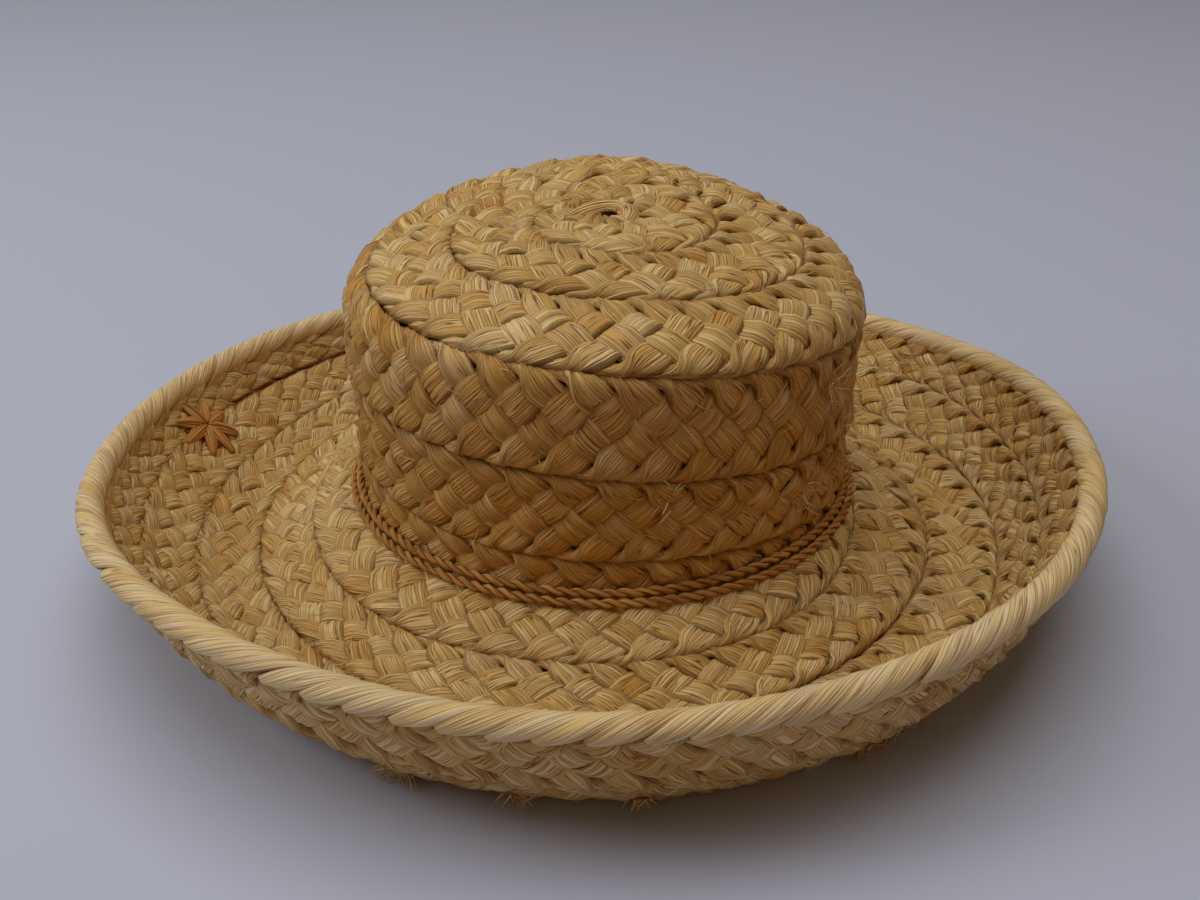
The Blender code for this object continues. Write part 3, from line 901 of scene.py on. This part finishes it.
def curl_tip(material):
    """The plait's first strand, curled over its start at the crown's tip."""
    around, up = tube_section(8)
    share = np.linspace(0, 1, 26)
    closed = closed_ends(len(share))
    round_thread = np.linspace(0, THREAD_FLAT, len(around))[:, None]
    rng = np.random.default_rng(113)
    path = np.array(interpolate_bezier(*(Vector(point) for point in CURL), len(share))).T
    heading = np.gradient(path[:2], axis=1)
    heading = heading / np.linalg.norm(heading, axis=0)
    tubes = []
    for thread in range(CURL_THREADS):
        spread = (thread - (CURL_THREADS - 1) / 2) * 0.00105
        aside = spread * (0.35 + 0.75 * np.sin(pi * share) ** 0.5)
        thick = 0.00078 * rng.uniform(0.9, 1.15) * closed
        cross = aside + thick * around
        rise = path[2] + TIP.height + WALL_HALF - 0.5 * abs(spread) + thick * up
        east = AXIS.x + path[0] - heading[1] * cross
        north = AXIS.y + path[1] + heading[0] * cross
        flat = strand_uv(cross.shape, share * 0.035, round_thread + 0.017 * thread)
        tint = plain_tint(cross.shape, rng.uniform(0.3, 0.9), 0.0, rng.uniform(0.2, 0.8))
        tubes.append((np.stack([east, north, rise], -1), flat, tint))
    return finished_tubes("tip_curl", bent_grids("tip_curl", tubes), material, "root", [])


Tuft = namedtuple("Tuft", "azimuth distance side fibres reach")
TUFTS = (  # frayed ends of strands, placed by degrees and by metres from the crown's foot
    Tuft(300, 0.0805, -1, 34, 0.006),
    Tuft(305, 0.0790, -1, 34, 0.006),
    Tuft(248, 0.0845, -1, 40, 0.0055),
    Tuft(261, 0.0870, -1, 16, 0.004),
    Tuft(274, 0.0855, -1, 18, 0.004),
    Tuft(206, 0.118, -1, 4, 0.016),
    Tuft(38, 0.100, 1, 4, 0.016),
    Tuft(325, -0.060, 1, 12, 0.008),
    Tuft(335, -0.035, 1, 12, 0.007),
    Tuft(318, -0.020, 1, 9, 0.006),
    Tuft(283, -0.038, 1, 9, 0.005),
)
Fibre = namedtuple("Fibre", "azimuth distance side length rise frayed")


def fibre_roots(rng, single_fibres):
    """Where each loose fibre starts: single ones all over the hat, then those of the tufts."""
    roots = []
    for number in range(single_fibres):
        azimuth = rng.uniform(0, tau)
        distance = rng.uniform(0.0, 0.100) if number % 3 else -rng.uniform(0.0, 0.160)
        length, rise = rng.uniform(0.005, 0.013), rng.uniform(0.0006, 0.0022)
        roots.append(Fibre(azimuth, distance, 1, length, rise, 0))
    for tuft in TUFTS:
        for number in range(tuft.fibres):
            azimuth = radians(tuft.azimuth) + rng.normal() * 0.012
            distance = tuft.distance + rng.normal() * 0.0022
            length, rise = tuft.reach * rng.uniform(0.6, 1.2), rng.uniform(0.002, 0.005)
            roots.append(Fibre(azimuth, distance, tuft.side, length, rise, 1))
    return roots


def stray_fibres(material, sizes):
    """Fine ends of fibre that lift out of the plait, alone and in tufts."""
    around, up = tube_section(3)
    share = np.linspace(0, 1, 8)
    closed = closed_ends(len(share))
    round_fibre = np.linspace(0, 0.0003, len(around))[:, None]
    rng = np.random.default_rng(97)
    tubes = []
    for fibre in fibre_roots(rng, sizes.stray_fibres):
        heading = rng.uniform(0, tau)
        if fibre.frayed and fibre.side < 0:
            heading = (heading - pi) * 0.6 - pi / 2  # mostly away from the rim
        turn = heading + rng.uniform(-1.6, 1.6) * share
        step = fibre.length / (len(share) - 1)
        foot = STRAW.crown_end(fibre.azimuth) + fibre.distance
        ring = max(STRAW.ring(fibre.azimuth, foot), 0.01)
        thick = rng.uniform(0.00012, 0.00026) * (1 + 1.3 * fibre.frayed) * (1 - 0.6 * share) * closed
        east = np.cumsum(np.cos(turn)) * step - np.sin(turn) * thick * around
        out = np.cumsum(np.sin(turn)) * step + np.cos(turn) * thick * around
        lift = WALL_HALF + 0.0007 + 0.0008 * fibre.frayed + fibre.rise * share ** 1.5
        lift = fibre.side * lift + thick * up
        points = STRAW.place(fibre.azimuth + east / ring, foot + out, lift)
        flat = strand_uv(lift.shape, share * fibre.length, round_fibre)
        golden, tone = rng.uniform(0, 0.9) + 0.15 * fibre.frayed, rng.uniform(0.3, 1.0)
        tubes.append((points, flat, plain_tint(lift.shape, tone, 0.0, golden)))
    mesh = bent_grids("stray_fibres", tubes)
    return finished_tubes("stray_fibres", mesh, material, "root", [])


def trim_material(name, middle, seed, relief):
    """Raffia dyed or darkened to one middle tone, with the other tones worked out from it."""
    colours = bpy.context.scene.raffia_colours
    base = hex_colour(middle)
    tones = tuple(tuple(min(part * factor, 1) for part in base) for factor in (0.62, 1.0, 1.35))
    golden = tuple(part * factor for part, factor in zip(base, (0.78, 0.62, 0.46)))
    return raffia_material(name, tones, golden, hex_colour(colours.crease_and_shade), seed, relief)


class HAT_OT_cords(bpy.types.Operator):
    """Two twisted cords round the foot of the crown"""

    bl_idname = "hat.cords"
    bl_label = "Lay the cords"

    def execute(self, context):
        sizes, colours = context.scene.trim_sizes, context.scene.raffia_colours
        material = trim_material("twisted raffia cord", colours.cord, 3.0, 0.5)
        twist_cord("twisted_cord_upper", "cord_upper", material, sizes, 71)
        twist_cord("twisted_cord_lower", "cord_lower", material, sizes, 83)
        return {"FINISHED"}


class HAT_OT_rim(bpy.types.Operator):
    """Strands rolled over the rim"""

    bl_idname = "hat.rim"
    bl_label = "Roll the rim"

    def execute(self, context):
        colours = context.scene.raffia_colours
        material = raffia_material(
            "rolled raffia edge",
            tuple(hex_colour(code) for code in (colours.straw, colours.pale, colours.bleached)),
            hex_colour(colours.stain_and_side_shade), hex_colour(colours.crease_and_shade), seed=11.0, relief=0.6, line_depth=0.60,
        )
        roll_rim(material, context.scene.trim_sizes)
        return {"FINISHED"}


class HAT_OT_star(bpy.types.Operator):
    """Star of raffia stitches on the brim"""

    bl_idname = "hat.star"
    bl_label = "Stitch the star"

    def execute(self, context):
        material = trim_material("golden raffia thread", context.scene.raffia_colours.star, 7.0, 0.5)
        stitch_star(material, context.scene.trim_sizes)
        return {"FINISHED"}


class HAT_OT_tip(bpy.types.Operator):
    """Strand curled over the plait's start"""

    bl_idname = "hat.tip"
    bl_label = "Curl the tip"

    def execute(self, context):
        curl_tip(plait_material())
        return {"FINISHED"}


class HAT_OT_fibres(bpy.types.Operator):
    """Loose fibre ends and frayed tufts"""

    bl_idname = "hat.fibres"
    bl_label = "Fray the straw"

    def execute(self, context):
        stray_fibres(plait_material(), context.scene.trim_sizes)
        return {"FINISHED"}


class HAT_OT_stage(bpy.types.Operator):
    """Pale floor, soft light and the camera"""

    bl_idname = "hat.stage"
    bl_label = "Set the stage"

    def execute(self, context):
        settings = context.scene.stage_settings
        add_floor()
        add_camera(settings)
        add_lights()
        return {"FINISHED"}


FLOOR_COLOUR = "#BFC7DF"
FLOOR_HALF = 4.0


def add_floor():
    """A sheet of white paper: matt and slightly cool."""
    sheet = bmesh.new()
    bmesh.ops.create_grid(sheet, x_segments=1, y_segments=1, size=FLOOR_HALF)
    mesh = bpy.data.meshes.new("floor")
    sheet.to_mesh(mesh)
    sheet.free()
    material, tree = new_material("white paper")
    out = add_node(tree, "ShaderNodeOutputMaterial")
    shader = add_node(
        tree, "ShaderNodeBsdfPrincipled",
        {"Base Color": (*hex_colour(FLOOR_COLOUR), 1), "Roughness": 0.8},
    )
    tree.links.new(shader.outputs["BSDF"], out.inputs["Surface"])
    mesh.materials.append(material)
    floor = bpy.data.objects.new("floor", mesh)
    bpy.context.scene.collection.objects.link(floor)


def add_camera(settings):
    lens = bpy.data.cameras.new("camera")
    lens.lens = settings.lens
    lens.sensor_width = 36
    camera = bpy.data.objects.new("camera", lens)
    bpy.context.scene.collection.objects.link(camera)
    aim = Vector((AXIS.x + settings.aim_side, AXIS.y, settings.aim_height))
    back = Vector((0, -cos(settings.elevation), sin(settings.elevation)))
    camera.location = aim + back * settings.distance
    camera.rotation_euler = (pi / 2 - settings.elevation, 0, 0)
    bpy.context.scene.camera = camera


Lamp = namedtuple("Lamp", "name place size power colour")
LAMPS = (
    Lamp("ceiling", (-0.15, 0.10, 2.20), 2.2, 28, "#FFFDF8"),
    Lamp("window", (-1.60, -0.10, 1.15), 0.8, 9.5, "#FFFFFF"),
    Lamp("front", (0.60, -2.10, 1.00), 1.0, 2.2, "#FFAE66"),
)
LAMP_AIM = (0, 0, 0.05)
SKY_COLOUR = "#FFDDB0"
SKY_STRENGTH = 0.10


def add_lights():
    for lamp in LAMPS:
        light = bpy.data.lights.new(lamp.name, "AREA")
        light.size = lamp.size
        light.energy = lamp.power
        light.color = hex_colour(lamp.colour)
        holder = bpy.data.objects.new(lamp.name, light)
        bpy.context.scene.collection.objects.link(holder)
        holder.location = lamp.place
        facing = holder.location - Vector(LAMP_AIM)
        holder.rotation_euler = facing.to_track_quat("Z", "Y").to_euler()
    world = bpy.data.worlds.new("room")
    world.use_nodes = True
    sky = world.node_tree.nodes["Background"]
    sky.inputs["Color"].default_value = (*hex_colour(SKY_COLOUR), 1)
    sky.inputs["Strength"].default_value = SKY_STRENGTH
    bpy.context.scene.world = world
    bpy.context.scene.view_settings.view_transform = "Standard"


class HAT_PT_panel(bpy.types.Panel):
    """Lists the steps that dress the hat"""

    bl_idname = "HAT_PT_panel"
    bl_label = "Raffia sun hat"
    bl_space_type = "VIEW_3D"
    bl_region_type = "UI"
    bl_category = "Hat"

    def draw(self, context):
        for step in STEPS:
            self.layout.operator(step.bl_idname)


STEPS = (
    HAT_OT_plait_crown, HAT_OT_plait_brim, HAT_OT_cords, HAT_OT_rim, HAT_OT_star, HAT_OT_tip,
    HAT_OT_fibres, HAT_OT_stage,
)
GROUPS = {
    "plait_sizes": PlaitSizes,
    "trim_sizes": TrimSizes,
    "raffia_colours": RaffiaColours,
    "stage_settings": StageSettings,
}


def register():
    for kind in (*GROUPS.values(), *STEPS, HAT_PT_panel):
        bpy.utils.register_class(kind)
    for name, kind in GROUPS.items():
        setattr(bpy.types.Scene, name, bpy.props.PointerProperty(type=kind))


def unregister():
    for name in GROUPS:
        delattr(bpy.types.Scene, name)
    for kind in reversed((*GROUPS.values(), *STEPS, HAT_PT_panel)):
        bpy.utils.unregister_class(kind)


def main():
    register()
    bpy.ops.hat.plait_crown()
    bpy.ops.hat.plait_brim()
    bpy.ops.hat.cords()
    bpy.ops.hat.rim()
    bpy.ops.hat.star()
    bpy.ops.hat.tip()
    bpy.ops.hat.fibres()
    bpy.ops.hat.stage()


if __name__ == "__main__":
    main()
